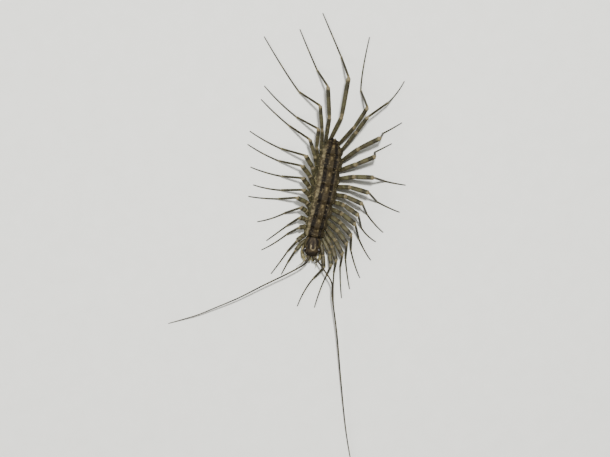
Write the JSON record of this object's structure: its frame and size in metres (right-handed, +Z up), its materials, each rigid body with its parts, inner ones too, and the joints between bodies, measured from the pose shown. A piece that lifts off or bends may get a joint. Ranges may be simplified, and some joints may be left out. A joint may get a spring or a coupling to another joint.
{
  "type": "house centipede, still life-size model",
  "caption": "Long-legged house centipede in a still pose: plated striped body, compound eyes, poison claws, slender jointed legs with whip-like feet and very long feelers",
  "frame": {"origin": "On the floor, below the middle of the whole outline including feelers and leg tips", "axes": "+X towards the animal's left flank, +Y from the head towards the tail, +Z up from the floor"},
  "size_m": [0.0524, 0.1046, 0.0069],
  "materials": {
    "plate": "dull brown shell plates with two dark stripes",
    "head": "dull dark brown head shield with a pale fork",
    "trunk": "olive-tan soft body wall",
    "leg": "olive-brown legs with dark bands and pale joints",
    "feeler": "fine dark brown ringed feelers",
    "mouth": "tan mouthparts and poison claws",
    "eye": "glossy black faceted eyes"
  },
  "bodies": {
    "root": {"tergite_1": "plate", "tergite_2": "plate", "tergite_3": "plate", "tergite_4": "plate", "tergite_5": "plate", "tergite_6": "plate", "tergite_7": "plate", "tergite_8": "plate", "trunk_front": "trunk", "trunk_middle": "trunk", "trunk_rear": "trunk", "tail_end": "trunk", "head": "head", "eye_left": "eye", "eye_right": "eye", "forcipule_left": "mouth", "forcipule_right": "mouth", "palp_left": "mouth", "palp_right": "mouth", "antenna_left": "feeler", "antenna_right": "feeler", "leg_left_01": "leg", "leg_left_02": "leg", "leg_left_03": "leg", "leg_left_04": "leg", "leg_left_05": "leg", "leg_left_06": "leg", "leg_left_07": "leg", "leg_left_08": "leg", "leg_left_09": "leg", "leg_left_10": "leg", "leg_left_11": "leg", "leg_left_12": "leg", "leg_left_13": "leg", "leg_left_14": "leg", "leg_left_15": "leg", "leg_right_01": "leg", "leg_right_02": "leg", "leg_right_03": "leg", "leg_right_04": "leg", "leg_right_05": "leg", "leg_right_06": "leg", "leg_right_07": "leg", "leg_right_08": "leg", "leg_right_09": "leg", "leg_right_10": "leg", "leg_right_11": "leg", "leg_right_12": "leg", "leg_right_13": "leg", "leg_right_14": "leg", "leg_right_15": "leg"}
  },
  "joints": []
}
